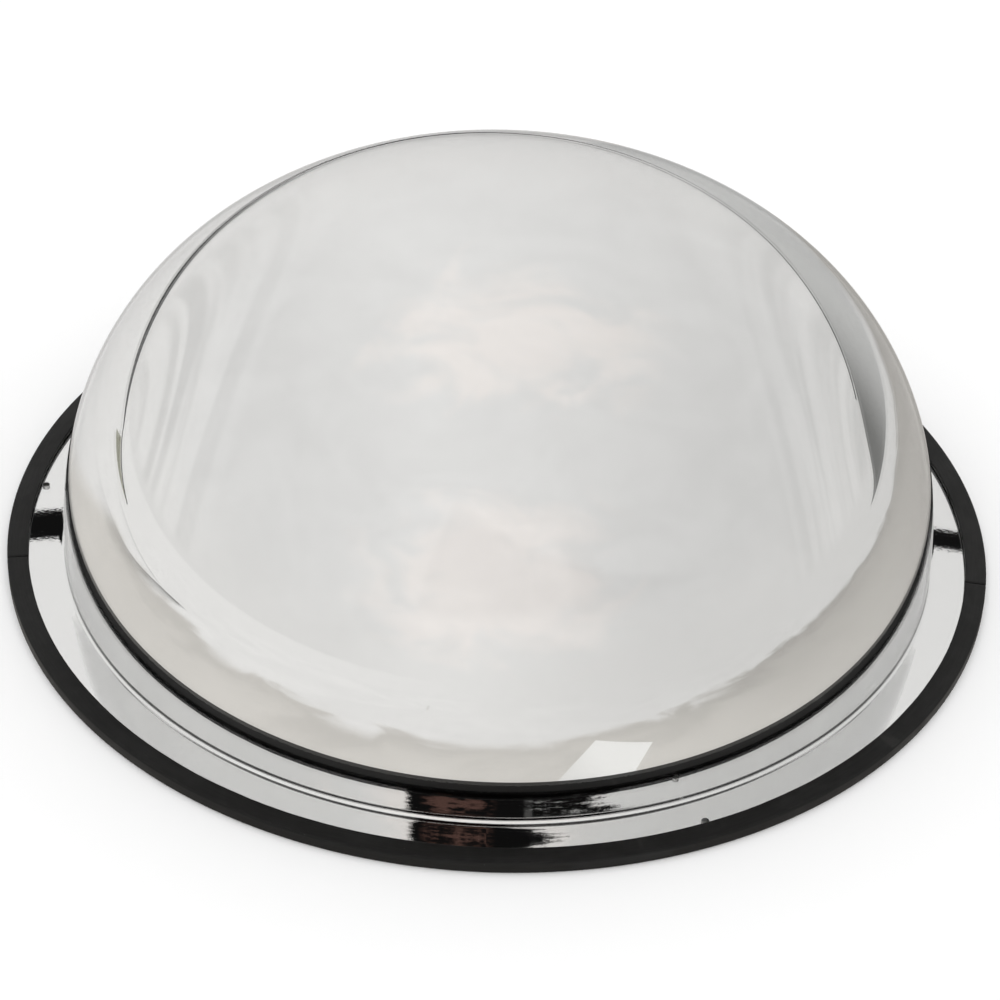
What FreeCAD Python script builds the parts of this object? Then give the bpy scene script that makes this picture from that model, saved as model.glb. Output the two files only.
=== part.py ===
import FreeCAD, Part
import os
from math import cos, pi, radians, sin
from FreeCAD import Vector

# Full dome convex security mirror: a thermoformed acrylic dome with a flat flange, silvered and painted on
# its hollow side, with a push-on edge trim round the flange in two lengths. Millimetres, +Z up. The origin
# is on the dome's axis, in the plane of the trim's underside.

# Sheet: clear acrylic, then the reflecting film, then the paint that protects it.
SHEET_AT_FLANGE = 3.0  # the clamped flange keeps the thickness of the flat sheet
SHEET_AT_CROWN = 1.8  # forming stretches the sheet most at the crown
FILM = 0.1
PAINT = 0.2

# Dome, measured on its bright outer skin.
FOOT_RADIUS = 292.0
DOME_RISE = 250.0  # flange top to crown
WALL_FULLNESS = 2.4  # exponent of the height term: 2 is an ellipse, more keeps the wall upright for longer
FOOT_FILLET = 1.2  # outer radius where the wall meets the flange
PROFILE_STEPS = 24

# Edge trim: a U channel that grips the flange.
TRIM_RADIUS = 330.0
TRIM_WIDTH = 14.0
TRIM_LIP = 2.3  # lower lip; the upper one takes up what is left of the height
TRIM_HEIGHT = 8.0
TRIM_BACK = 2.5
OUTER_ROUND = 1.2
LIP_ROUND = 0.6
SEAT_SLACK = 0.3  # between the flange's edge and the bottom of the channel
BUTT_ANGLES = (190.0, 352.0)  # where the two lengths meet, from +X towards +Y
BUTT_GAP = 0.6

# Screw holes through the flange.
HOLE_COUNT = 3
HOLE_CIRCLE_RADIUS = 312.5
HOLE_RADIUS = 2.4
FIRST_HOLE_ANGLE = 55.0

SHEET_BOTTOM = TRIM_LIP
FLANGE_TOP = TRIM_LIP + PAINT + FILM + SHEET_AT_FLANGE
FLANGE_RADIUS = TRIM_RADIUS - TRIM_BACK - SEAT_SLACK
DOME_AXIS = (Vector(0, 0, 0), Vector(0, 0, 1))


def wall_point(turn, depth):
    """A point depth below the dome's outer skin, at a profile angle of turn: 0 at the foot, pi / 2 at the crown."""
    base = FLANGE_TOP + FOOT_FILLET
    rise = DOME_RISE - FOOT_FILLET
    radius = FOOT_RADIUS * cos(turn)
    height = rise * sin(turn) ** (2 / WALL_FULLNESS)
    normal = Vector(
        2 * radius / FOOT_RADIUS**2,
        0,
        WALL_FULLNESS * height ** (WALL_FULLNESS - 1) / rise**WALL_FULLNESS,
    )
    return Vector(radius, 0, base + height) - normal.normalize() * depth


def skin(at_flange, at_crown):
    """The edges of one surface of the sheet, from the flange's rim to the crown, given its depth at both ends."""
    rim = Vector(FLANGE_RADIUS, 0, FLANGE_TOP - at_flange)
    bend_start = Vector(FOOT_RADIUS + FOOT_FILLET, 0, FLANGE_TOP - at_flange)
    bend_end = wall_point(0, at_flange)
    bend_radius = FOOT_FILLET + at_flange
    bend_middle = Vector(
        FOOT_RADIUS + FOOT_FILLET - bend_radius * sin(pi / 4),
        0,
        FLANGE_TOP + FOOT_FILLET - bend_radius * cos(pi / 4),
    )
    turns = [pi / 2 * step / PROFILE_STEPS for step in range(PROFILE_STEPS + 1)]
    depths = [at_flange + (at_crown - at_flange) * turn / (pi / 2) for turn in turns]
    wall = Part.BSplineCurve()
    wall.interpolate(
        Points=[wall_point(turn, depth) for turn, depth in zip(turns, depths)],
        InitialTangent=Vector(0, 0, 1),
        FinalTangent=Vector(-1, 0, 0),
    )
    return [
        Part.LineSegment(rim, bend_start).toShape(),
        Part.Arc(bend_start, bend_middle, bend_end).toShape(),
        wall.toShape(),
    ]


def revolved(edges, start=0.0, sweep=360.0):
    """A closed outline in the XZ plane, turned about the dome's axis from start through sweep degrees."""
    face = Part.Face(Part.Wire(Part.__sortEdges__(edges)))
    face.rotate(*DOME_AXIS, start)
    return face.revolve(*DOME_AXIS, sweep)


def hole_tools():
    tools = []
    for number in range(HOLE_COUNT):
        angle = radians(FIRST_HOLE_ANGLE + number * 360 / HOLE_COUNT)
        centre = Vector(HOLE_CIRCLE_RADIUS * cos(angle), HOLE_CIRCLE_RADIUS * sin(angle), 0)
        tools.append(Part.makeCylinder(HOLE_RADIUS, TRIM_HEIGHT, centre))
    return tools


def sheet_layer(outer_depths, inner_depths):
    """One layer of the drilled dome, between two depths below its outer skin."""
    outer = skin(*outer_depths)
    inner = skin(*inner_depths)
    rim = Part.LineSegment(outer[0].Vertexes[0].Point, inner[0].Vertexes[0].Point).toShape()
    crown = Part.LineSegment(outer[-1].Vertexes[-1].Point, inner[-1].Vertexes[-1].Point).toShape()
    return revolved(outer + inner + [rim, crown]).cut(hole_tools())


def rounded_polygon(corners):
    """Edges of a closed polygon in the XZ plane, from corners of (x, z, rounding), all of them right angles."""
    points = [Vector(x, 0, z) for x, z, rounding in corners]
    edges = []
    starts = []
    ends = []
    for index, corner in enumerate(points):
        rounding = corners[index][2]
        to_last = (points[index - 1] - corner).normalize()
        to_next = (points[(index + 1) % len(points)] - corner).normalize()
        starts.append(corner + to_last * rounding)
        ends.append(corner + to_next * rounding)
        if rounding:
            centre = corner + (to_last + to_next) * rounding
            middle = centre + (corner - centre).normalize() * rounding
            edges.append(Part.Arc(starts[-1], middle, ends[-1]).toShape())
    for index, end in enumerate(ends):
        edges.append(Part.LineSegment(end, starts[(index + 1) % len(starts)]).toShape())
    return edges


def trim_outline():
    """The U channel's section, with rounded outer corners and lip ends."""
    inner = TRIM_RADIUS - TRIM_WIDTH
    seat = TRIM_RADIUS - TRIM_BACK
    return rounded_polygon(
        [
            (inner, 0, LIP_ROUND),
            (TRIM_RADIUS, 0, OUTER_ROUND),
            (TRIM_RADIUS, TRIM_HEIGHT, OUTER_ROUND),
            (inner, TRIM_HEIGHT, LIP_ROUND),
            (inner, FLANGE_TOP, 0),
            (seat, FLANGE_TOP, 0),
            (seat, SHEET_BOTTOM, 0),
            (inner, SHEET_BOTTOM, 0),
        ]
    )


def edge_trim(first_butt, last_butt):
    """One length of trim between two butt joints, with half of the gap left at each end."""
    half_gap = BUTT_GAP / 2 / TRIM_RADIUS * 180 / pi
    return revolved(trim_outline(), first_butt + half_gap, last_butt - first_butt - 2 * half_gap)


FILM_TOP = (SHEET_AT_FLANGE, SHEET_AT_CROWN)
FILM_BOTTOM = (SHEET_AT_FLANGE + FILM, SHEET_AT_CROWN + FILM)
PAINT_BOTTOM = (SHEET_AT_FLANGE + FILM + PAINT, SHEET_AT_CROWN + FILM + PAINT)

parts = {
    "acrylic_dome": sheet_layer((0, 0), FILM_TOP),
    "mirror_film": sheet_layer(FILM_TOP, FILM_BOTTOM),
    "back_paint": sheet_layer(FILM_BOTTOM, PAINT_BOTTOM),
    "front_edge_trim": edge_trim(BUTT_ANGLES[0], BUTT_ANGLES[1]),
    "rear_edge_trim": edge_trim(BUTT_ANGLES[1], BUTT_ANGLES[0] + 360),
}

os.makedirs("parts", exist_ok=True)
for name, shape in parts.items():
    shape.exportStep(f"parts/{name}.step")
    box = shape.BoundBox
    print(name, shape.isValid(), len(shape.Solids), round(shape.Volume), round(box.ZMin, 3), round(box.ZMax, 3))
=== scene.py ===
from math import cos, hypot, pi, radians, sin

import bmesh
import bpy
from mathutils import Matrix, Vector, noise


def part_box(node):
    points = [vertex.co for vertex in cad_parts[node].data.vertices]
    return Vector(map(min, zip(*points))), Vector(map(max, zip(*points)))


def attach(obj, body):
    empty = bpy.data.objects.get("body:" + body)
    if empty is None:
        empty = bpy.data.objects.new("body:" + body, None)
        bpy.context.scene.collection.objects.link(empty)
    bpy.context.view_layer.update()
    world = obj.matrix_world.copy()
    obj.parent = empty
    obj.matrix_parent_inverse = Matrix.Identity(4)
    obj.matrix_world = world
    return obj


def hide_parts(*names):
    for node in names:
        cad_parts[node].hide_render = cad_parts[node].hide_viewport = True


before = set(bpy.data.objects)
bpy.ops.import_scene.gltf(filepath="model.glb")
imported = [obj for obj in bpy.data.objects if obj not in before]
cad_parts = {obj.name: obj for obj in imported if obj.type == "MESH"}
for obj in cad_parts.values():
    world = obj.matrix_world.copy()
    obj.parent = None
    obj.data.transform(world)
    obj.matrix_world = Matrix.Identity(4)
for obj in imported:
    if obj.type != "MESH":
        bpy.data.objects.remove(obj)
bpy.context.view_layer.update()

# ---------------------------------------------------------------------------------------------------------
# Sizes of the mirror, in metres, as the CAD part has them. The dome's axis is Z.
# ---------------------------------------------------------------------------------------------------------
TRIM_RADIUS = max(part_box("front_edge_trim")[1].x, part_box("rear_edge_trim")[1].y)
TRIM_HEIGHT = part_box("rear_edge_trim")[1].z
FLANGE_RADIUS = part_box("acrylic_dome")[1].x
CROWN_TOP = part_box("acrylic_dome")[1].z
SHEET_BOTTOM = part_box("acrylic_dome")[0].z
FILM_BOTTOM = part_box("mirror_film")[0].z
PAINT_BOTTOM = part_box("back_paint")[0].z

SHEET_AT_FLANGE = 0.0030
SHEET_AT_CROWN = 0.0018
FACE_GAP = 0.00003  # keeps the film's face clear of the acrylic's, so that light meets them in turn
FLANGE_TOP = SHEET_BOTTOM + SHEET_AT_FLANGE
FOOT_RADIUS = 0.292
FOOT_FILLET = 0.0012
WALL_FULLNESS = 2.4
TRIM_WIDTH = 0.014
TRIM_BACK = 0.0025
BUTT_ANGLES = (190.0, 352.0)
BUTT_GAP = 0.0006
OUTER_ROUND = 0.0012
LIP_ROUND = 0.0006
HOLE_COUNT = 3
HOLE_CIRCLE_RADIUS = 0.3125
HOLE_RADIUS = 0.0024
FIRST_HOLE_ANGLE = 55.0

# What the CAD part leaves out: the pressed-on lip strays from a true circle by LIP_WAVE, in waves of two
# paces, each with a seed and a share, and the trim's cut ends are rounded, more so on the upper lip.
LIP_WAVE = 0.0002
LIP_WAVES = ((9, 3.0, 1.0), (60, 7.0, 0.4))
END_ROUND = 0.0005
UPPER_LIP_ROUND = 1.6
LOWER_LIP_ROUND = 0.6

# How finely the meshes are divided.
SHEET_SEGMENTS = 480
WALL_STEPS = 70
BEND_STEPS = 8
FLANGE_STEPS = 10
HOLE_SEGMENTS = 48
TRIM_STEP = radians(0.5)
OUTER_ROUND_STEPS = 6
LIP_ROUND_STEPS = 4
END_STEPS = 7
END_STEP = 0.0008  # radians between the extra sections near a cut end

# ---------------------------------------------------------------------------------------------------------
# Camera and studio.
# ---------------------------------------------------------------------------------------------------------
CAMERA_ELEVATION = radians(37.76)
CAMERA_DISTANCE = 6.19 * TRIM_RADIUS
CAMERA_ROLL = 0.0391
CAMERA_LENS = 108.0
AIM = Vector((0.0017, 0.0, 0.0847)) * TRIM_RADIUS

# What the mirror shows: a white fabric tent over a white cloth, with a warm table top close to the mirror.
TENT_LOW = (0.87, 0.862, 0.85, 1)
TENT_HIGH = (0.862, 0.857, 0.85, 1)
TENT_GLOW = (0.97, 0.93, 0.905, 1)
# The tent is darker to both sides: where the shade starts and ends, as the direction's share towards +X.
EAST_SIDE = (-0.35, 0.85, 1.0, 0.82)
WEST_SIDE = (-0.75, -0.10, 0.92, 1.0)
# Where the fabric is gathered, on both sides: azimuth and elevation.
GATHERED = (57.0, -5.0)
FABRIC_CHANGES = (0, 35)  # the elevations between which the tent's low colour becomes its high colour
# Folds hang round GATHERED, from all of their depth at the first angle from it to none at the second.
# Creases cross the whole tent. Both darken and lighten the fabric by these shares.
FOLDS_END = (22, 52)
FOLD_SHADES = (-0.09, 0.07)
CREASE_SHADES = (-0.03, 0.02)
# Pale patches of fabric that the lamps shine through: azimuth, elevation and outer and inner angular size.
LAMPS = ((0.0, 69.0, 24.0, 7.0), (180.0, 36.0, 36.0, 11.0))
LAMP_RAGGED = 9.0  # degrees by which the patches' edges wander
TABLE_TOP = (0.735, 0.71, 0.672, 1)
TABLE_SIDE = (0.0, 0.6, 1.0, 0.68)  # the table's shade, from its first X to its second
TABLE_CENTRE = (0.10, 0.10)
TABLE_REACH = (0.70, 0.54)
TABLE_SQUARENESS = 2.6
TABLE_RAGGED = 0.16  # how far the cloth's edge wanders, as a share of the table's reach
TABLE_EDGE = (0.86, 1.12)  # the table shows inside the first share of its reach, the cloth outside the second
UNDER_EDGE_SHADE = 0.13  # how much darker the table is under the cloth's edge
# The cloth also lies behind this line over the floor, given by its Y at the axis and its slope, up to an X
# right of the axis.
CLOTH_LINE = (0.20, 0.35)
CLOTH_LINE_SOFT = (-0.04, 0.05)
CLOTH_LINE_END = (0.15, 0.0)
FLOOR_SEEN = (0.985, 0.985, 0.985, 1)
FLOOR_RADIUS = 14.0
FLOOR_OPENING = 0.275
FLOOR_STEPS = 96
FLOOR_LEVEL = -0.0002  # just under the trim, so that their faces don't share a plane
STUDIO_WHITE = (1.12, 1.12, 1.12, 1)
DARK = (0.006, 0.006, 0.006, 1)
# The tent's opening, which only a second reflection reaches: the azimuths of its sides, its low and high
# edge, the tatters of its right side, and that side's slant in degrees of azimuth for each one of height
# above OPENING_MIDDLE.
OPENING_LEFT = 201.0
OPENING_RIGHT = 149.0
OPENING_RISE = (25, 62)
OPENING_MIDDLE = 39.5
OPENING_SLANT = 1.9
OPENING_TATTERS = (-3.5, 6.0)
# What stands in the opening, each between two azimuths: warm things, light between tatters, and a pole.
WARM_THINGS = (179, 197)
# The light and the pole start at their first elevation and are full at the second, at these strengths.
LIT_TATTERS = (152, 169)
LIT_BELOW = (43.5, 42.0)
LIT_STRENGTH = 0.6
PALE_POLE = (168.5, 170.5)
POLE_BELOW = (41.5, 39.5)
POLE_STRENGTH = 0.08
OPENING_WARM = (0.10, 0.055, 0.045, 1)
# Clamp heads of the tent's frame, behind the mirror on both sides, at this distance from the flange. Rays
# shorter than CLAMP_NEAR, which come from the dome, go through them. For each: where on the flange it is
# aimed from, its azimuth and elevation from there, and its height.
CLAMP_DISTANCE = 0.90
CLAMP_NEAR = 0.85
CLAMP_HALF_WIDTH = 0.035
CLAMPS = ((-0.308, -10.7, 38.0, 0.028), (0.308, 10.7, 36.8, 0.0185))
# Painted shade in the seam where cloth meets the tent's back wall: over the floor, then up the wall to the
# right.
SEAM_LINE = (
    (-1.03, 0.11, 0.0), (-1.80, 0.80, 0.0), (-1.90, 1.00, 0.05), (-1.10, 1.00, 0.12), (-0.50, 1.00, 0.02),
    (-0.15, 0.72, 0.0), (0.05, 1.00, 0.0), (0.35, 1.00, 0.17), (1.00, 1.00, 0.35), (1.60, 1.00, 0.35),
)
SEAM_WIDTH = 0.017  # for each metre from the mirror, times the gape: least at the ends and more in the middle
SEAM_GAPE = 0.45
SEAM_SWELL = 1.9
ABOVE_FLOOR = 0.003  # how high the stage pieces on the floor lie
# A gap beside the seam's left end, a dim sheet of painted shade, as its two edges on the floor.
GAP_SHADE_COLOUR = (0.33, 0.325, 0.26, 1)
GAP_NEAR = ((-1.26, 0.60), (-1.14, 0.38), (-1.03, 0.11))
GAP_FAR = ((-1.80, 0.82), (-1.25, 0.34), (-1.03, 0.11))
# The dim side of the tent, behind and right of the mirror: its edges on the back wall and on the floor.
SIDE_TOP = ((0.10, 0.03), (0.35, 0.15), (0.62, 0.255), (1.03, 0.335), (1.6, 0.35), (2.2, 0.24), (2.6, 0.0))
SIDE_BOTTOM = ((0.10, 0.40), (0.35, 0.60), (0.62, 0.74), (1.0, 0.78), (1.4, 0.82), (1.75, 0.70), (1.9, 0.50))
SIDE_BEHIND = 1.02
# Its colour at the left, then what it changes to between two places on X.
SIDE_START = (0.70, 0.70, 0.69, 1)
SIDE_TO_PALE = (0.2, 0.5, (0.60, 0.60, 0.59, 1))
SIDE_TO_DIM = (0.5, 1.8, (0.20, 0.20, 0.195, 1))
# Shadows under the cloth's edge, left of the mirror: the edge's course on the floor, then the shadow's
# width and strength. A shadow deepens along its edge, and fades SHADOW_FADE times as fast at the end.
SHADOW_COLOUR = (0.05, 0.048, 0.044, 1)
SHADOW_FADE = 12
SHADOWS = (
    (((-0.54, 0.20), (-0.59, 0.06), (-0.555, -0.10), (-0.60, -0.21), (-0.57, -0.285)), 0.10, 1.15),
    (((-1.09, 0.35), (-0.86, 0.10), (-0.72, -0.06), (-0.58, -0.22)), 0.05, 0.35),
)
# A sheet of paper on the table in front of the mirror, which glows with painted light, shaded at its left
# end.
PAPER = ((0.05, -0.325), (0.125, -0.412), (0.165, -0.352), (0.105, -0.305))
PAPER_SHADED = (0.84, 0.832, 0.815, 1)
PAPER_TO_WHITE = (0.06, 0.11, (0.945, 0.94, 0.92, 1))


def linked(name, data):
    """A new object of this data, in the scene."""
    thing = bpy.data.objects.new(name, data)
    bpy.context.collection.objects.link(thing)
    return thing


def make_camera():
    outward = Vector((0, -cos(CAMERA_ELEVATION), sin(CAMERA_ELEVATION)))
    spot = outward * CAMERA_DISTANCE
    forward = (AIM - spot).normalized()
    right = forward.cross(Vector((0, 0, 1))).normalized()
    up = right.cross(forward)
    rolled_right = right * cos(CAMERA_ROLL) + up * sin(CAMERA_ROLL)
    rolled_up = up * cos(CAMERA_ROLL) - right * sin(CAMERA_ROLL)
    data = bpy.data.cameras.new("camera")
    data.lens = CAMERA_LENS
    data.sensor_width = 36.0
    camera = linked("camera", data)
    axes = Matrix((rolled_right, rolled_up, -forward)).transposed()
    camera.matrix_world = Matrix.Translation(spot) @ axes.to_4x4()
    bpy.context.scene.camera = camera


# ---------------------------------------------------------------------------------------------------------
# Node helpers.
# ---------------------------------------------------------------------------------------------------------
def new_material(name):
    material = bpy.data.materials.new(name)
    material.use_nodes = True
    nodes = material.node_tree.nodes
    return material, material.node_tree, nodes["Principled BSDF"]


def math(tree, operation, *operands, clamp=False):
    node = tree.nodes.new("ShaderNodeMath")
    node.operation = operation
    node.use_clamp = clamp
    for index, operand in enumerate(operands):
        if isinstance(operand, (int, float)):
            node.inputs[index].default_value = operand
        else:
            tree.links.new(operand, node.inputs[index])
    return node.outputs[0]


def blend(tree, factor, first, second):
    """A colour mix: first where factor is 0 and second where it is 1."""
    node = tree.nodes.new("ShaderNodeMix")
    node.data_type = "RGBA"
    for socket, value in ((node.inputs[0], factor), (node.inputs[6], first), (node.inputs[7], second)):
        if isinstance(value, (int, float, tuple)):
            socket.default_value = value
        else:
            tree.links.new(value, socket)
    return node.outputs[2]


def band(tree, value, low, high, start=0.0, end=1.0):
    """Maps value from low..high to start..end along a smooth step."""
    node = tree.nodes.new("ShaderNodeMapRange")
    node.interpolation_type = "SMOOTHSTEP"
    tree.links.new(value, node.inputs["Value"])
    for name, number in (("From Min", low), ("From Max", high), ("To Min", start), ("To Max", end)):
        node.inputs[name].default_value = number
    return node.outputs[0]


def noise_value(tree, vector, scale, detail=2.0, roughness=0.5, distortion=0.0):
    node = tree.nodes.new("ShaderNodeTexNoise")
    tree.links.new(vector, node.inputs["Vector"])
    for name, number in (
        ("Scale", scale),
        ("Detail", detail),
        ("Roughness", roughness),
        ("Distortion", distortion),
    ):
        node.inputs[name].default_value = number
    return node.outputs["Fac"]


def object_place(tree):
    return tree.nodes.new("ShaderNodeTexCoord").outputs["Object"]


def window(tree, value, low, high, soft):
    """1 where value is between low and high, with soft edges."""
    rising = band(tree, value, low - soft, low + soft)
    falling = band(tree, value, high - soft, high + soft, 1.0, 0.0)
    return math(tree, "MULTIPLY", rising, falling)


def scaled(tree, colour, factor):
    node = tree.nodes.new("ShaderNodeVectorMath")
    node.operation = "SCALE"
    tree.links.new(colour, node.inputs[0])
    tree.links.new(factor, node.inputs["Scale"])
    return node.outputs[0]


def even_colour(tree, colour):
    node = tree.nodes.new("ShaderNodeRGB")
    node.outputs[0].default_value = colour
    return node.outputs[0]


def combined(tree, x, y, z):
    node = tree.nodes.new("ShaderNodeCombineXYZ")
    for socket, value in zip(node.inputs, (x, y, z)):
        if isinstance(value, (int, float)):
            socket.default_value = value
        else:
            tree.links.new(value, socket)
    return node.outputs[0]


def separated(tree, vector):
    node = tree.nodes.new("ShaderNodeSeparateXYZ")
    tree.links.new(vector, node.inputs[0])
    return node.outputs


def from_axis(tree, x, y):
    """The distance of a point from the dome's axis."""
    return math(tree, "SQRT", math(tree, "ADD", math(tree, "POWER", x, 2.0), math(tree, "POWER", y, 2.0)))


def add_bump(tree, shader, relief, distance, strength=1.0):
    bump = tree.nodes.new("ShaderNodeBump")
    bump.inputs["Strength"].default_value = strength
    bump.inputs["Distance"].default_value = distance
    tree.links.new(relief, bump.inputs["Height"])
    tree.links.new(bump.outputs[0], shader.inputs["Normal"])


def light_path(tree, fact):
    return tree.nodes.new("ShaderNodeLightPath").outputs[fact]


def reflected_again(tree):
    """1 from a ray's second reflection on."""
    return math(tree, "GREATER_THAN", light_path(tree, "Glossy Depth"), 1.5)


def seen_directly(tree):
    """1 for the camera's own rays and for diffuse light, 0 for what a mirror or a lens shows."""
    return math(tree, "MAXIMUM", light_path(tree, "Is Camera Ray"), light_path(tree, "Is Diffuse Ray"))


# ---------------------------------------------------------------------------------------------------------
# Studio: a pale floor and a white tent, which the mirror shows.
# ---------------------------------------------------------------------------------------------------------
def side_shade(tree, east):
    """The tent's shade in a direction with this share towards +X."""
    return math(tree, "MULTIPLY", band(tree, east, *EAST_SIDE), band(tree, east, *WEST_SIDE))


def heading(azimuth, elevation):
    """The unit vector with this azimuth, from +Y towards +X, and elevation, in degrees."""
    turn, rise = radians(azimuth), radians(elevation)
    return Vector((sin(turn) * cos(rise), cos(turn) * cos(rise), sin(rise)))


def angle_from(tree, direction, azimuth, elevation):
    """The angle in degrees between a direction and a heading."""
    apart = tree.nodes.new("ShaderNodeVectorMath")
    apart.operation = "DOT_PRODUCT"
    tree.links.new(direction, apart.inputs[0])
    apart.inputs[1].default_value = heading(azimuth, elevation)
    return math(tree, "DEGREES", math(tree, "ARCCOSINE", apart.outputs["Value"]))


def tent_fabric(tree, direction, elevation):
    """The fabric's colour. Lamps shine through it in pale patches with ragged edges."""
    fabric = blend(tree, band(tree, elevation, *FABRIC_CHANGES), TENT_LOW, TENT_HIGH)
    ragged = noise_value(tree, direction, 3.5, detail=5.0, roughness=0.55, distortion=0.9)
    ragged = band(tree, ragged, 0.3, 0.7, -LAMP_RAGGED, LAMP_RAGGED)
    for azimuth, rise, outer, inner in LAMPS:
        angle = math(tree, "ADD", angle_from(tree, direction, azimuth, rise), ragged)
        fabric = blend(tree, band(tree, angle, outer, inner), fabric, TENT_GLOW)
    return fabric


def tent_folds(tree, direction, azimuth, elevation):
    """The shade of the folds, which hang where the fabric is gathered, and of the creases across the tent."""
    east, north, up = separated(tree, direction)
    either_side = combined(tree, math(tree, "ABSOLUTE", east), north, up)
    gathered = angle_from(tree, either_side, *GATHERED)
    waves = combined(tree, gathered, math(tree, "MULTIPLY", azimuth, 0.05), 0.0)
    folds = band(tree, noise_value(tree, waves, 0.2, detail=2.5, distortion=0.4), 0.38, 0.62, *FOLD_SHADES)
    folds = math(tree, "MULTIPLY", folds, band(tree, gathered, *FOLDS_END, 1, 0))
    folds = math(tree, "MULTIPLY", folds, band(tree, elevation, 0, 4))
    creases = noise_value(tree, direction, 2.6, detail=4.0, roughness=0.62, distortion=1.1)
    creases = band(tree, creases, 0.3, 0.7, *CREASE_SHADES)
    creases = math(tree, "MULTIPLY", creases, band(tree, elevation, 1, 12))
    return math(tree, "ADD", 1.0, math(tree, "ADD", creases, folds))


def opening_share(tree, wrapped, elevation, rows):
    """1 in the tent's opening and 0 on its fabric, for a second reflection."""
    tatters = band(tree, rows, 0.3, 0.7, *OPENING_TATTERS)
    above = math(tree, "SUBTRACT", elevation, OPENING_MIDDLE)
    right_side = math(tree, "ADD", OPENING_RIGHT, math(tree, "MULTIPLY", above, OPENING_SLANT))
    right_side = math(tree, "ADD", right_side, tatters)
    left_side = math(tree, "SUBTRACT", OPENING_LEFT, math(tree, "MULTIPLY", tatters, 0.25))
    past_right = band(tree, math(tree, "SUBTRACT", wrapped, right_side), -0.7, 0.7)
    before_left = band(tree, math(tree, "SUBTRACT", left_side, wrapped), -0.7, 0.7)
    opening = math(tree, "MULTIPLY", past_right, before_left)
    opening = math(tree, "MULTIPLY", opening, window(tree, elevation, *OPENING_RISE, 4))
    return math(tree, "MULTIPLY", opening, reflected_again(tree))


def inside_opening(tree, azimuth, wrapped, elevation, rows):
    """Dark, with warm things, light between the tatters and a pale pole."""
    spread = combined(tree, math(tree, "MULTIPLY", azimuth, 0.35), elevation, 0.0)
    things = band(tree, noise_value(tree, spread, 0.5, detail=4.0, roughness=0.65), 0.44, 0.6)
    warm = math(tree, "MULTIPLY", things, window(tree, wrapped, *WARM_THINGS, 2))
    inside = blend(tree, warm, DARK, OPENING_WARM)
    lit = math(tree, "MULTIPLY", band(tree, rows, 0.56, 0.64), window(tree, wrapped, *LIT_TATTERS, 3))
    lit = math(tree, "MULTIPLY", lit, band(tree, elevation, *LIT_BELOW))
    inside = blend(tree, math(tree, "MULTIPLY", lit, LIT_STRENGTH), inside, TENT_LOW)
    pole = math(tree, "MULTIPLY", window(tree, wrapped, *PALE_POLE, 0.5), band(tree, elevation, *POLE_BELOW))
    return blend(tree, math(tree, "MULTIPLY", pole, POLE_STRENGTH), inside, TENT_LOW)


def make_world():
    """White light on everything. The mirror shows a white fabric tent with folds and an opening instead."""
    world = bpy.data.worlds.new("tent")
    bpy.context.scene.world = world
    world.use_nodes = True
    tree = world.node_tree
    tree.nodes.clear()
    direction = tree.nodes.new("ShaderNodeTexCoord").outputs["Generated"]
    east, north, up = separated(tree, direction)
    azimuth = math(tree, "DEGREES", math(tree, "ARCTAN2", east, north))
    wrapped = math(tree, "WRAP", azimuth, 360.0, 0.0)
    elevation = math(tree, "DEGREES", math(tree, "ARCSINE", up))
    shade = math(tree, "MULTIPLY", tent_folds(tree, direction, azimuth, elevation), side_shade(tree, east))
    walls = scaled(tree, tent_fabric(tree, direction, elevation), shade)
    spread = combined(tree, math(tree, "MULTIPLY", azimuth, 0.04), elevation, 0.0)
    rows = noise_value(tree, spread, 2.6, detail=4.0, roughness=0.7)
    inside = inside_opening(tree, azimuth, wrapped, elevation, rows)
    walls = blend(tree, opening_share(tree, wrapped, elevation, rows), walls, inside)
    background = tree.nodes.new("ShaderNodeBackground")
    tree.links.new(blend(tree, seen_directly(tree), walls, STUDIO_WHITE), background.inputs["Color"])
    out = tree.nodes.new("ShaderNodeOutputWorld")
    tree.links.new(background.outputs[0], out.inputs["Surface"])


def floor_mesh():
    corners = []
    for radius in (FLOOR_RADIUS, FLOOR_OPENING):
        for step in range(FLOOR_STEPS):
            angle = 2 * pi * step / FLOOR_STEPS
            corners.append((radius * cos(angle), radius * sin(angle), FLOOR_LEVEL))
    faces = []
    for step in range(FLOOR_STEPS):
        after = (step + 1) % FLOOR_STEPS
        faces.append((step, after, FLOOR_STEPS + after, FLOOR_STEPS + step))
    mesh = bpy.data.meshes.new("floor")
    mesh.from_pydata(corners, [], faces)
    return mesh


def table_reach(tree, spot, x, y):
    """How far out a point of the floor is: about 1 along the edge of the cloth, which wanders."""
    reach = None
    for value, centre, half in zip((x, y), TABLE_CENTRE, TABLE_REACH):
        share = math(tree, "ABSOLUTE", math(tree, "DIVIDE", math(tree, "SUBTRACT", value, centre), half))
        share = math(tree, "POWER", share, TABLE_SQUARENESS)
        reach = share if reach is None else math(tree, "ADD", reach, share)
    ragged = noise_value(tree, spot, 7.0, detail=4.0, roughness=0.55, distortion=0.6)
    return math(tree, "ADD", reach, band(tree, ragged, 0.3, 0.7, -TABLE_RAGGED, TABLE_RAGGED))


def cloth_colour(tree, spot, x, y):
    """The white cloth, with painted shade and light of creases near the mirror, and painted shade towards +X.
    """
    away = from_axis(tree, x, y)
    creases = noise_value(tree, spot, 4.0, detail=4.0, roughness=0.6, distortion=2.0)
    creases = band(tree, creases, 0.3, 0.7, -0.03, 0.025)
    creases = math(tree, "MULTIPLY", creases, band(tree, away, 1.0, 2.4, 1, 0))
    east = math(tree, "DIVIDE", x, math(tree, "MAXIMUM", away, 0.7))
    # painted crease shade and light, and painted shade towards +X
    tone = math(tree, "MULTIPLY", math(tree, "ADD", creases, 1.0), band(tree, east, *EAST_SIDE))
    return scaled(tree, even_colour(tree, TENT_LOW), tone)


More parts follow.
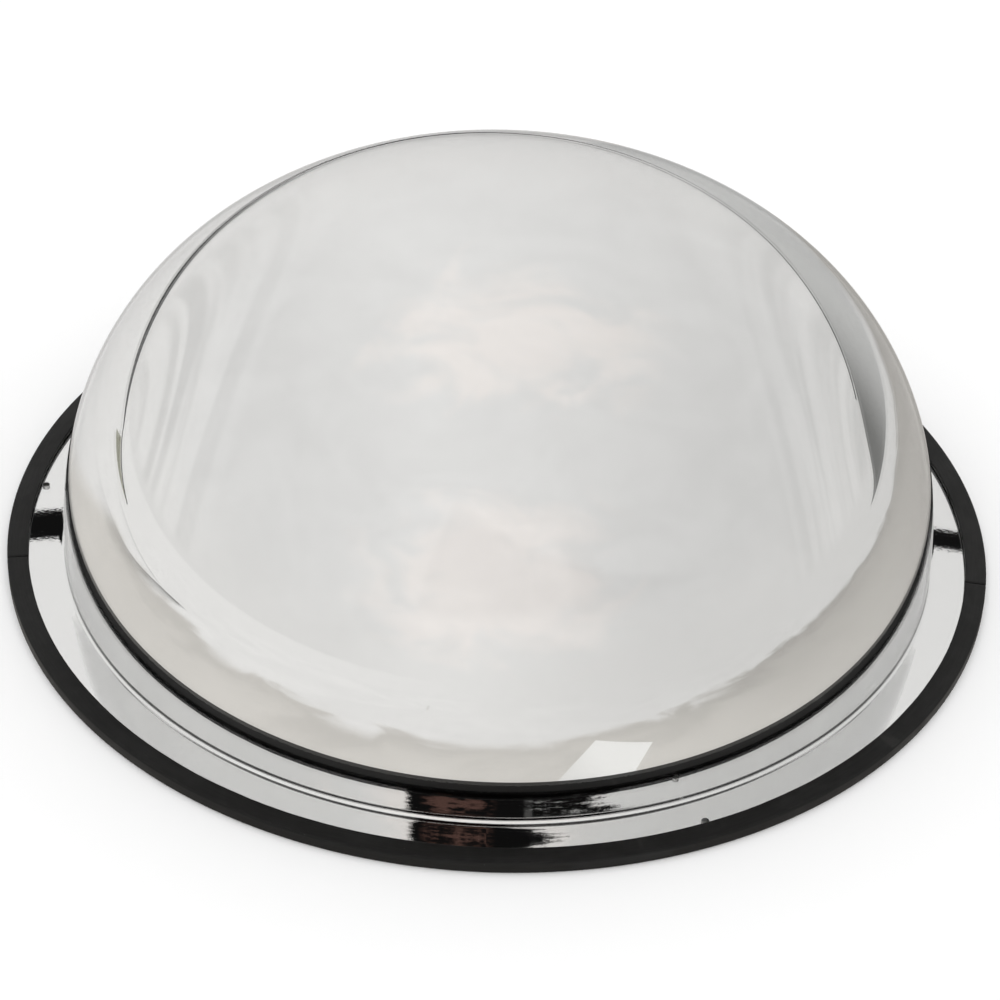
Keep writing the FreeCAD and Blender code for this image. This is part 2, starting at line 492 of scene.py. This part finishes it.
def table_colour(tree, spot, x, reach):
    """The warm table top: stained, darker to the right and under the cloth's edge."""
    stains = noise_value(tree, spot, 3.0, detail=3.0, distortion=0.5)
    tone = math(tree, "MULTIPLY", band(tree, stains, 0.3, 0.7, 0.95, 1.03), band(tree, x, *TABLE_SIDE))
    under_edge = math(tree, "MULTIPLY", window(tree, reach, 0.70, 1.0, 0.2), UNDER_EDGE_SHADE)
    tone = math(tree, "MULTIPLY", tone, math(tree, "SUBTRACT", 1.0, under_edge))
    return scaled(tree, even_colour(tree, TABLE_TOP), tone)


def floor_material():
    material, tree, shader = new_material("floor_white")
    shader.inputs["Base Color"].default_value = FLOOR_SEEN
    shader.inputs["Roughness"].default_value = 0.9
    shader.inputs["Specular IOR Level"].default_value = 0.0
    spot = object_place(tree)
    x, y, z = separated(tree, spot)
    reach = table_reach(tree, spot, x, y)
    start, slope = CLOTH_LINE
    behind = math(tree, "SUBTRACT", math(tree, "SUBTRACT", y, start), math(tree, "MULTIPLY", x, slope))
    behind = math(tree, "MULTIPLY", band(tree, behind, *CLOTH_LINE_SOFT), band(tree, x, *CLOTH_LINE_END))
    covered = math(tree, "MAXIMUM", band(tree, reach, *TABLE_EDGE), behind)
    shown = blend(tree, covered, table_colour(tree, spot, x, reach), cloth_colour(tree, spot, x, y))
    # to the mirror, the floor glows as an emission: painted light of the table and cloth, with their painted
    # shade
    mirrored = tree.nodes.new("ShaderNodeEmission")
    tree.links.new(shown, mirrored.inputs["Color"])
    choice = tree.nodes.new("ShaderNodeMixShader")
    for socket, value in zip(choice.inputs, (seen_directly(tree), mirrored.outputs[0], shader.outputs[0])):
        tree.links.new(value, socket)
    tree.links.new(choice.outputs[0], tree.nodes["Material Output"].inputs["Surface"])
    return thin_out(material, lambda tree: tree.nodes.new("ShaderNodeNewGeometry").outputs["Backfacing"])


def make_floor():
    """A pale floor, clear from below and open under the mirror, so that its back is lit.

    The mirror shows the floor as a warm table top that a white cloth leaves free.
    """
    floor = linked("floor", floor_mesh())
    floor.data.materials.append(floor_material())


def stage_piece(name, mesh, material):
    """Adds a mesh that only the mirror shows."""
    piece = linked(name, mesh)
    mesh.materials.append(material)
    piece.visible_camera = False
    piece.visible_diffuse = False
    piece.visible_shadow = False
    return piece


def glow(name, colour, *changes):
    """An emission of one colour, which from each change's low X to its high X becomes the next colour."""
    material = bpy.data.materials.new(name)
    material.use_nodes = True
    tree = material.node_tree
    tree.nodes.clear()
    out = tree.nodes.new("ShaderNodeOutputMaterial")
    emission = tree.nodes.new("ShaderNodeEmission")
    x = separated(tree, object_place(tree))[0]
    shade = even_colour(tree, colour)
    for low, high, following in changes:
        shade = blend(tree, band(tree, x, low, high), shade, following)
    tree.links.new(shade, emission.inputs["Color"])
    tree.links.new(emission.outputs[0], out.inputs["Surface"])
    return material


def thin_out(material, clear_share):
    """Lets light straight through a material, by the share that clear_share makes in its node tree."""
    tree = material.node_tree
    out = tree.nodes["Material Output"].inputs["Surface"]
    shown = out.links[0].from_socket
    clear = tree.nodes.new("ShaderNodeBsdfTransparent")
    choice = tree.nodes.new("ShaderNodeMixShader")
    for socket, value in zip(choice.inputs, (clear_share(tree), shown, clear.outputs[0])):
        tree.links.new(value, socket)
    tree.links.new(choice.outputs[0], out)
    return material


def smooth_line(points, resolution=14):
    """A smooth curve through or near the points, as a list of places."""
    curve = bpy.data.curves.new("line", "CURVE")
    curve.dimensions = "3D"
    curve.resolution_u = resolution
    line = curve.splines.new("NURBS")
    line.points.add(len(points) - 1)
    for spot, point in zip(points, line.points):
        point.co = (*spot, 1)
    line.order_u = 3
    line.use_endpoint_u = True
    maker = linked("line", curve)
    places = [vertex.co.copy() for vertex in bpy.data.meshes.new_from_object(maker).vertices]
    bpy.data.objects.remove(maker)
    return places


def ribbon(name, low_edge, high_edge, material):
    """A strip between two lines of as many points."""
    count = len(low_edge)
    faces = [(index, index + 1, count + index + 1, count + index) for index in range(count - 1)]
    mesh = bpy.data.meshes.new(name)
    mesh.from_pydata(low_edge + high_edge, [], faces)
    return stage_piece(name, mesh, material)


def make_seam():
    low_edge = smooth_line(SEAM_LINE)
    high_edge = []
    for index, spot in enumerate(low_edge):
        share = index / (len(low_edge) - 1)
        gape = SEAM_GAPE + SEAM_SWELL * sin(pi * share**0.9) ** 4
        high_edge.append(spot + Vector((0, 0, SEAM_WIDTH * gape * spot.length)))
    # the seam's gap as a dark ribbon of painted shade
    ribbon("tent_seam", low_edge, high_edge, glow("seam_gap_shade", DARK))


def on_floor(route):
    return smooth_line([(x, y, ABOVE_FLOOR) for x, y in route])


def make_side_shade():
    top = smooth_line([(x, SIDE_BEHIND, z) for x, z in SIDE_TOP])
    dim = glow("side_dim", SIDE_START, SIDE_TO_PALE, SIDE_TO_DIM)
    ribbon("tent_side_shade", on_floor(SIDE_BOTTOM), top, dim)


def make_gap():
    # the gap as a dim sheet of painted shade
    ribbon("cloth_gap", on_floor(GAP_NEAR), on_floor(GAP_FAR), glow("gap_painted_shade", GAP_SHADE_COLOUR))


def make_paper():
    """The dome shows the paper; what the flange and the wall show of each other leaves it out."""
    corners = [Vector((x, y, ABOVE_FLOOR)) for x, y in PAPER]
    white = glow("paper_white", PAPER_SHADED, PAPER_TO_WHITE)
    thin_out(white, reflected_again)
    ribbon("paper", [corners[0], corners[3]], [corners[1], corners[2]], white)


def make_clamps():
    dark = glow("clamp_dark", DARK)
    thin_out(dark, lambda tree: math(tree, "LESS_THAN", light_path(tree, "Ray Length"), CLAMP_NEAR))
    for number, (x, azimuth, elevation, height) in enumerate(CLAMPS):
        towards = heading(azimuth, elevation)
        middle = Vector((x, 0, FLANGE_TOP)) + towards * CLAMP_DISTANCE
        across = towards.cross(Vector((0, 0, 1))).normalized() * CLAMP_HALF_WIDTH
        upward = across.cross(towards).normalized() * height / 2
        ribbon(
            f"tent_clamp_{number}",
            [middle - across - upward, middle + across - upward],
            [middle - across + upward, middle + across + upward],
            dark,
        )


def shadow_material(name, strength):
    """Dark at a ribbon's far edge, and clear at its near edge."""

    def clear_share(tree):
        across = tree.nodes.new("ShaderNodeAttribute")
        across.attribute_name = "across"
        depth = math(tree, "MULTIPLY", math(tree, "POWER", across.outputs["Fac"], 1.5), strength, clamp=True)
        return math(tree, "SUBTRACT", 1.0, depth)

    return thin_out(glow(name, SHADOW_COLOUR), clear_share)


def make_shadows():
    for number, (route, width, strength) in enumerate(SHADOWS):
        edge = on_floor(route)
        count = len(edge)
        inward = []
        for index, spot in enumerate(edge):
            along = edge[min(index + 1, count - 1)] - edge[max(index - 1, 0)]
            out = along.cross(Vector((0, 0, 1))).normalized()
            inward.append(spot - out * width * sin(pi * (index + 0.5) / count) ** 0.5)
        piece = ribbon(f"cloth_shadow_{number}", inward, edge, shadow_material(f"shadow_{number}", strength))
        across = piece.data.attributes.new("across", "FLOAT", "POINT")
        for index in range(count):
            across.data[index].value = 0.0
            share = (index + 0.5) / count
            across.data[count + index].value = min(share, SHADOW_FADE * (1 - share))


# ---------------------------------------------------------------------------------------------------------
# Meshes.
# ---------------------------------------------------------------------------------------------------------
def wall_point(turn, depth):
    """Radius and height of a point depth below the dome's outer skin, at a profile angle of turn."""
    base = FLANGE_TOP + FOOT_FILLET
    rise = CROWN_TOP - base
    radius = FOOT_RADIUS * cos(turn)
    height = rise * sin(turn) ** (2 / WALL_FULLNESS)
    out = 2 * radius / FOOT_RADIUS**2
    up = WALL_FULLNESS * height ** (WALL_FULLNESS - 1) / rise**WALL_FULLNESS
    length = hypot(out, up)
    return radius - out / length * depth, base + height - up / length * depth


def skin_profile(at_flange, at_crown):
    """Points (radius, height) of one surface of the sheet, from the flange's rim to the crown."""
    bend_centre = FOOT_RADIUS + FOOT_FILLET
    bend_radius = FOOT_FILLET + at_flange
    level = FLANGE_TOP - at_flange
    points = []
    for step in range(FLANGE_STEPS):
        share = step / FLANGE_STEPS
        points.append((FLANGE_RADIUS + (bend_centre - FLANGE_RADIUS) * share, level))
    for step in range(BEND_STEPS):
        angle = pi / 2 * step / BEND_STEPS
        points.append(
            (bend_centre - bend_radius * sin(angle), FLANGE_TOP + FOOT_FILLET - bend_radius * cos(angle))
        )
    for step in range(WALL_STEPS):
        turn = pi / 2 * step / WALL_STEPS
        points.append(wall_point(turn, at_flange + (at_crown - at_flange) * turn / (pi / 2)))
    points.append((0.0, wall_point(pi / 2, at_crown)[1]))
    return points


def sheet_layer(name, outer_depths, inner_depths):
    """A closed shell between two depths below the dome's outer skin."""
    shell = bmesh.new()
    rims = []
    for depths, flip in ((outer_depths, False), (inner_depths, True)):
        profile = skin_profile(*depths)
        rings = []
        for radius, height in profile[:-1]:
            ring = []
            for segment in range(SHEET_SEGMENTS):
                angle = 2 * pi * segment / SHEET_SEGMENTS
                ring.append(shell.verts.new((radius * cos(angle), radius * sin(angle), height)))
            rings.append(ring)
        crown = shell.verts.new((0, 0, profile[-1][1]))
        for low, high in zip(rings, rings[1:]):
            for index in range(SHEET_SEGMENTS):
                after = (index + 1) % SHEET_SEGMENTS
                corners = [low[index], low[after], high[after], high[index]]
                shell.faces.new(corners[::-1] if flip else corners)
        last = rings[-1]
        for index in range(SHEET_SEGMENTS):
            corners = [last[index], last[(index + 1) % SHEET_SEGMENTS], crown]
            shell.faces.new(corners[::-1] if flip else corners)
        rims.append(rings[0])
    top, bottom = rims
    for index in range(SHEET_SEGMENTS):
        after = (index + 1) % SHEET_SEGMENTS
        shell.faces.new([bottom[index], bottom[after], top[after], top[index]])
    mesh = bpy.data.meshes.new(name)
    shell.to_mesh(mesh)
    shell.free()
    return linked(name, mesh)


def hole_centres():
    centres = []
    for number in range(HOLE_COUNT):
        angle = radians(FIRST_HOLE_ANGLE + number * 360 / HOLE_COUNT)
        centres.append(Vector((HOLE_CIRCLE_RADIUS * cos(angle), HOLE_CIRCLE_RADIUS * sin(angle))))
    return centres


def drill(piece):
    """Cuts the screw holes through a layer."""
    tools = bmesh.new()
    for centre in hole_centres():
        bmesh.ops.create_cone(
            tools,
            cap_ends=True,
            segments=HOLE_SEGMENTS,
            radius1=HOLE_RADIUS,
            radius2=HOLE_RADIUS,
            depth=TRIM_HEIGHT * 2,
            matrix=Matrix.Translation((*centre, TRIM_HEIGHT / 2)),
        )
    mesh = bpy.data.meshes.new("drills")
    tools.to_mesh(mesh)
    tools.free()
    drills = linked("drills", mesh)
    cut = piece.modifiers.new("drill", "BOOLEAN")
    cut.operation = "DIFFERENCE"
    cut.solver = "EXACT"
    cut.object = drills
    bpy.context.view_layer.update()
    made = bpy.data.meshes.new_from_object(piece.evaluated_get(bpy.context.evaluated_depsgraph_get()))
    piece.modifiers.clear()
    old = piece.data
    piece.data = made
    made.name = piece.name
    bpy.data.meshes.remove(old)
    bpy.data.objects.remove(drills)
    bpy.data.meshes.remove(mesh)


def smooth(piece, sharp=radians(35)):
    piece.data.shade_smooth()
    piece.data.set_sharp_from_angle(angle=sharp)


def bore_faces(piece, slot):
    """Puts the faces of the bore walls on a material slot."""
    centres = hole_centres()
    for face in piece.data.polygons:
        if abs(face.normal.z) > 0.5:
            continue
        if any((face.center.xy - centre).length < HOLE_RADIUS * 1.05 for centre in centres):
            face.material_index = slot


def trim_section():
    """Points (radius, height) round the U channel's section, with rounded outer corners and lip ends."""
    inner = TRIM_RADIUS - TRIM_WIDTH
    seat = TRIM_RADIUS - TRIM_BACK
    corners = [
        (inner, 0, LIP_ROUND, LIP_ROUND_STEPS),
        (TRIM_RADIUS, 0, OUTER_ROUND, OUTER_ROUND_STEPS),
        (TRIM_RADIUS, TRIM_HEIGHT, OUTER_ROUND, OUTER_ROUND_STEPS),
        (inner, TRIM_HEIGHT, LIP_ROUND, LIP_ROUND_STEPS),
        (inner, FLANGE_TOP, 0, 0),
        (seat, FLANGE_TOP, 0, 0),
        (seat, PAINT_BOTTOM, 0, 0),
        (inner, PAINT_BOTTOM, 0, 0),
    ]
    points = []
    for index, (x, z, rounding, steps) in enumerate(corners):
        corner = Vector((x, z))
        to_last = (Vector(corners[index - 1][:2]) - corner).normalized()
        to_next = (Vector(corners[(index + 1) % len(corners)][:2]) - corner).normalized()
        if not rounding:
            points.append(corner)
            continue
        centre = corner + (to_last + to_next) * rounding
        for step in range(steps + 1):
            angle = pi / 2 * step / steps
            points.append(centre - to_next * rounding * cos(angle) - to_last * rounding * sin(angle))
    return points


def uneven_trim(radius, height, angle, from_end):
    """A point of the section, moved for the lip's slight waves and for the rounding of the hand-cut ends."""
    is_lip = radius < TRIM_RADIUS - TRIM_WIDTH + 0.001
    if is_lip:
        wave = 0.0
        for pace, seed, share in LIP_WAVES:
            wave += share * noise.noise(Vector((cos(angle) * pace, sin(angle) * pace, seed)))
        radius += LIP_WAVE * wave
    rounding = END_ROUND * max(0.0, 1 - from_end / (3 * END_ROUND)) ** 2
    if is_lip:
        radius += rounding * (UPPER_LIP_ROUND if height > FLANGE_TOP else LOWER_LIP_ROUND)
    elif radius > TRIM_RADIUS - TRIM_BACK + 0.0001:
        radius -= rounding
    if height > FLANGE_TOP + 0.0001:
        height -= rounding
    return radius, height


def make_trim(name, node, first_butt, last_butt):
    section = trim_section()
    half_gap = BUTT_GAP / 2 / TRIM_RADIUS
    start = radians(first_butt) + half_gap
    end = radians(last_butt) - half_gap
    steps = int((end - start) / TRIM_STEP)
    mesh_maker = bmesh.new()
    rings = []
    angles = [start + (end - start) * step / steps for step in range(steps + 1)]
    close = [END_STEP * step for step in range(1, END_STEPS)]
    angles = sorted(angles + [start + gap for gap in close] + [end - gap for gap in close])
    for angle in angles:
        from_end = min(angle - start, end - angle) * TRIM_RADIUS
        ring = []
        for point in section:
            radius, height = uneven_trim(point.x, point.y, angle, from_end)
            ring.append(mesh_maker.verts.new((radius * cos(angle), radius * sin(angle), height)))
        rings.append(ring)
    count = len(section)
    for this, following in zip(rings, rings[1:]):
        for index in range(count):
            after = (index + 1) % count
            mesh_maker.faces.new([this[index], this[after], following[after], following[index]])
    mesh_maker.faces.new(rings[0][::-1])
    mesh_maker.faces.new(rings[-1])
    bmesh.ops.recalc_face_normals(mesh_maker, faces=mesh_maker.faces)
    mesh = bpy.data.meshes.new(name)
    mesh_maker.to_mesh(mesh)
    mesh_maker.free()
    piece = linked(name, mesh)
    smooth(piece)
    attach(piece, "root")
    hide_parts(node)
    return piece


# ---------------------------------------------------------------------------------------------------------
# Materials.
# ---------------------------------------------------------------------------------------------------------
ACRYLIC_IOR = 1.49
DRILL_RING = 0.0002  # spacing of the rings that the drill left in a bore
# Ripple of the sheet in units of height, on the clamped flange and over the drawn dome, and where the one
# becomes the other, as heights over the flange.
RIPPLE_UNIT = 0.000001
ACRYLIC_RIPPLE = (1.2, 0.01)
FILM_RIPPLE = (5.0, 0.015)
DRAWN = (0.002, 0.030)


def ripple(tree, shader, on_flange, on_dome):
    """Fine unevenness of the formed sheet, stronger where the flange was clamped than over the dome."""
    spot = object_place(tree)
    height = separated(tree, spot)[2]
    fine = noise_value(tree, spot, 420.0, detail=2.0)
    slow = noise_value(tree, spot, 24.0, detail=2.0)
    drawn = band(tree, height, FLANGE_TOP + DRAWN[0], FLANGE_TOP + DRAWN[1], on_flange, on_dome)
    waves = math(tree, "MULTIPLY", math(tree, "ADD", fine, math(tree, "MULTIPLY", slow, 2.0)), drawn)
    add_bump(tree, shader, waves, RIPPLE_UNIT)


def specks(tree, spot, spacing, size):
    """1 on sparse grains of dust, about one in four cells of this spacing, and 0 elsewhere."""
    cells = tree.nodes.new("ShaderNodeTexVoronoi")
    cells.inputs["Scale"].default_value = 1 / spacing
    tree.links.new(spot, cells.inputs["Vector"])
    chance = separated(tree, cells.outputs["Color"])[0]
    grain = band(tree, cells.outputs["Distance"], size / spacing, 0.4 * size / spacing)
    return math(tree, "MULTIPLY", grain, math(tree, "GREATER_THAN", chance, 0.75))


def clear_acrylic():
    """Polished clear sheet, faintly hazed by wiping and with a few grains of dust."""
    material, tree, shader = new_material("clear_acrylic")
    spot = object_place(tree)
    wiped = noise_value(tree, spot, 9.0, detail=4.0, roughness=0.7, distortion=1.4)
    dust = specks(tree, spot, 0.035, 0.0011)
    haze = band(tree, wiped, 0.55, 0.8, 0.0, 0.012)
    tree.links.new(math(tree, "ADD", haze, math(tree, "MULTIPLY", dust, 0.12)), shader.inputs["Roughness"])
    tint = blend(tree, wiped, (1.0, 1.0, 1.0, 1), (0.985, 0.988, 0.985, 1))
    tree.links.new(blend(tree, dust, tint, (0.82, 0.81, 0.79, 1)), shader.inputs["Base Color"])
    shader.inputs["IOR"].default_value = ACRYLIC_IOR
    shader.inputs["Transmission Weight"].default_value = 1.0
    ripple(tree, shader, *ACRYLIC_RIPPLE)
    return material


def drilled_acrylic():
    """The bore walls, frosted by the drill in fine rings."""
    material, tree, shader = new_material("drilled_acrylic")
    spot = object_place(tree)
    height = separated(tree, spot)[2]
    rings = math(tree, "SINE", math(tree, "MULTIPLY", height, 2 * pi / DRILL_RING))
    chips = noise_value(tree, spot, 1500.0, detail=2.0)
    frost = blend(tree, chips, (0.80, 0.82, 0.82, 1), (0.96, 0.97, 0.97, 1))
    tree.links.new(frost, shader.inputs["Base Color"])
    tree.links.new(band(tree, chips, 0.3, 0.7, 0.3, 0.55), shader.inputs["Roughness"])
    add_bump(tree, shader, rings, 0.00002)
    shader.inputs["IOR"].default_value = ACRYLIC_IOR
    shader.inputs["Transmission Weight"].default_value = 1.0
    return material


def mirror_film():
    """The reflecting layer: bright, very slightly uneven in tone, and rippled with the sheet it lies on."""
    material, tree, shader = new_material("mirror_film")
    spot = object_place(tree)
    tone = noise_value(tree, spot, 6.0, detail=5.0, roughness=0.6, distortion=0.8)
    silver = blend(tree, tone, (0.872, 0.870, 0.865, 1), (0.895, 0.893, 0.888, 1))
    tree.links.new(silver, shader.inputs["Base Color"])
    tree.links.new(band(tree, tone, 0.3, 0.7, 0.002, 0.008), shader.inputs["Roughness"])
    shader.inputs["Metallic"].default_value = 1.0
    ripple(tree, shader, *FILM_RIPPLE)
    return material


def back_paint():
    """Grey protective paint with orange peel, and darker low down near the bend."""
    material, tree, shader = new_material("back_paint")
    spot = object_place(tree)
    height = separated(tree, spot)[2]
    cloud = noise_value(tree, spot, 14.0, detail=5.0, roughness=0.6)
    peel = noise_value(tree, spot, 420.0, detail=2.0)
    spray = noise_value(tree, spot, 1300.0, detail=1.0)
    paint = blend(tree, band(tree, cloud, 0.3, 0.7), (0.26, 0.27, 0.28, 1), (0.34, 0.35, 0.36, 1))
    # darker low down near the bend
    darker_near_bend = math(tree, "MULTIPLY", window(tree, height, 0.002, 0.012, 0.006), 0.5)
    paint = blend(tree, darker_near_bend, paint, (0.17, 0.175, 0.18, 1))
    paint = blend(tree, band(tree, spray, 0.62, 0.72, 0.0, 0.4), paint, (0.50, 0.51, 0.52, 1))
    tree.links.new(paint, shader.inputs["Base Color"])
    tree.links.new(band(tree, cloud, 0.3, 0.7, 0.5, 0.72), shader.inputs["Roughness"])
    add_bump(tree, shader, peel, 0.00025, 0.5)
    return material


def black_trim():
    """Extruded black vinyl: drawn lines along its length, fine grain, dust, lighter convex edges, and painted
    shade low down.
    """
    material, tree, shader = new_material("black_trim")
    spot = object_place(tree)
    x, y, height = separated(tree, spot)
    angle = math(tree, "ARCTAN2", y, x)
    along = combined(tree, math(tree, "MULTIPLY", angle, 0.02), from_axis(tree, x, y), height)
    drawn = noise_value(tree, along, 900.0, detail=3.0, roughness=0.6)
    grain = noise_value(tree, spot, 1800.0, detail=2.0)
    worn = noise_value(tree, spot, 30.0, detail=5.0, roughness=0.7)
    dust = specks(tree, spot, 0.006, 0.00035)
    lines = band(tree, drawn, 0.3, 0.7)
    colour = blend(tree, lines, (0.0040, 0.0039, 0.0037, 1), (0.0076, 0.0074, 0.0070, 1))
    colour = blend(tree, band(tree, worn, 0.5, 0.78, 0.0, 0.35), colour, (0.021, 0.0205, 0.0195, 1))
    # lighter on its convex edges
    pointed = tree.nodes.new("ShaderNodeNewGeometry").outputs["Pointiness"]
    colour = blend(tree, band(tree, pointed, 0.52, 0.6, 0.0, 0.4), colour, (0.024, 0.0235, 0.022, 1))
    colour = blend(tree, math(tree, "MULTIPLY", dust, 0.5), colour, (0.10, 0.098, 0.09, 1))
    # painted shade: darker towards the bottom, near the floor
    colour = scaled(tree, colour, band(tree, height, 0.0, 0.007, 0.25, 1.0))
    tree.links.new(colour, shader.inputs["Base Color"])
    tree.links.new(band(tree, worn, 0.3, 0.75, 0.42, 0.62), shader.inputs["Roughness"])
    shader.inputs["Specular IOR Level"].default_value = 0.22
    relief = math(tree, "ADD", math(tree, "MULTIPLY", drawn, 0.7), math(tree, "MULTIPLY", grain, 0.3))
    add_bump(tree, shader, relief, 0.00008, 0.6)
    return material


# ---------------------------------------------------------------------------------------------------------
# The mirror.
# ---------------------------------------------------------------------------------------------------------
def make_sheet():
    film = SHEET_BOTTOM - FILM_BOTTOM
    paint = FILM_BOTTOM - PAINT_BOTTOM
    tops = (0.0, SHEET_AT_FLANGE + FACE_GAP, SHEET_AT_FLANGE + film)
    bottoms = (SHEET_AT_FLANGE, SHEET_AT_FLANGE + film, SHEET_AT_FLANGE + film + paint)
    layers = (
        ("acrylic_dome_shell", "acrylic_dome", "clear_acrylic", [clear_acrylic(), drilled_acrylic()]),
        ("mirror_film_skin", "mirror_film", "mirror_film", [mirror_film()]),
        ("back_paint_skin", "back_paint", "back_paint", [back_paint()]),
    )
    thinning = SHEET_AT_CROWN - SHEET_AT_FLANGE
    for number, (name, node, slot, materials) in enumerate(layers):
        outer = (tops[number], tops[number] + (thinning if number else 0))
        inner = (bottoms[number], bottoms[number] + thinning)
        piece = sheet_layer(name, outer, inner)
        drill(piece)
        smooth(piece)
        piece.data.materials.clear()
        for material in materials:
            piece.data.materials.append(material)
        bore_faces(piece, len(materials) - 1)
        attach(piece, "root")
        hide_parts(node)


def make_trims():
    rubber = black_trim()
    for name, node, first, last in (
        ("front_trim_channel", "front_edge_trim", BUTT_ANGLES[0], BUTT_ANGLES[1]),
        ("rear_trim_channel", "rear_edge_trim", BUTT_ANGLES[1], BUTT_ANGLES[0] + 360),
    ):
        make_trim(name, node, first, last).data.materials.append(rubber)


bpy.context.scene.view_settings.view_transform = "Standard"
make_camera()
make_world()
make_floor()
make_seam()
make_side_shade()
make_gap()
make_paper()
make_clamps()
make_shadows()
make_sheet()
make_trims()
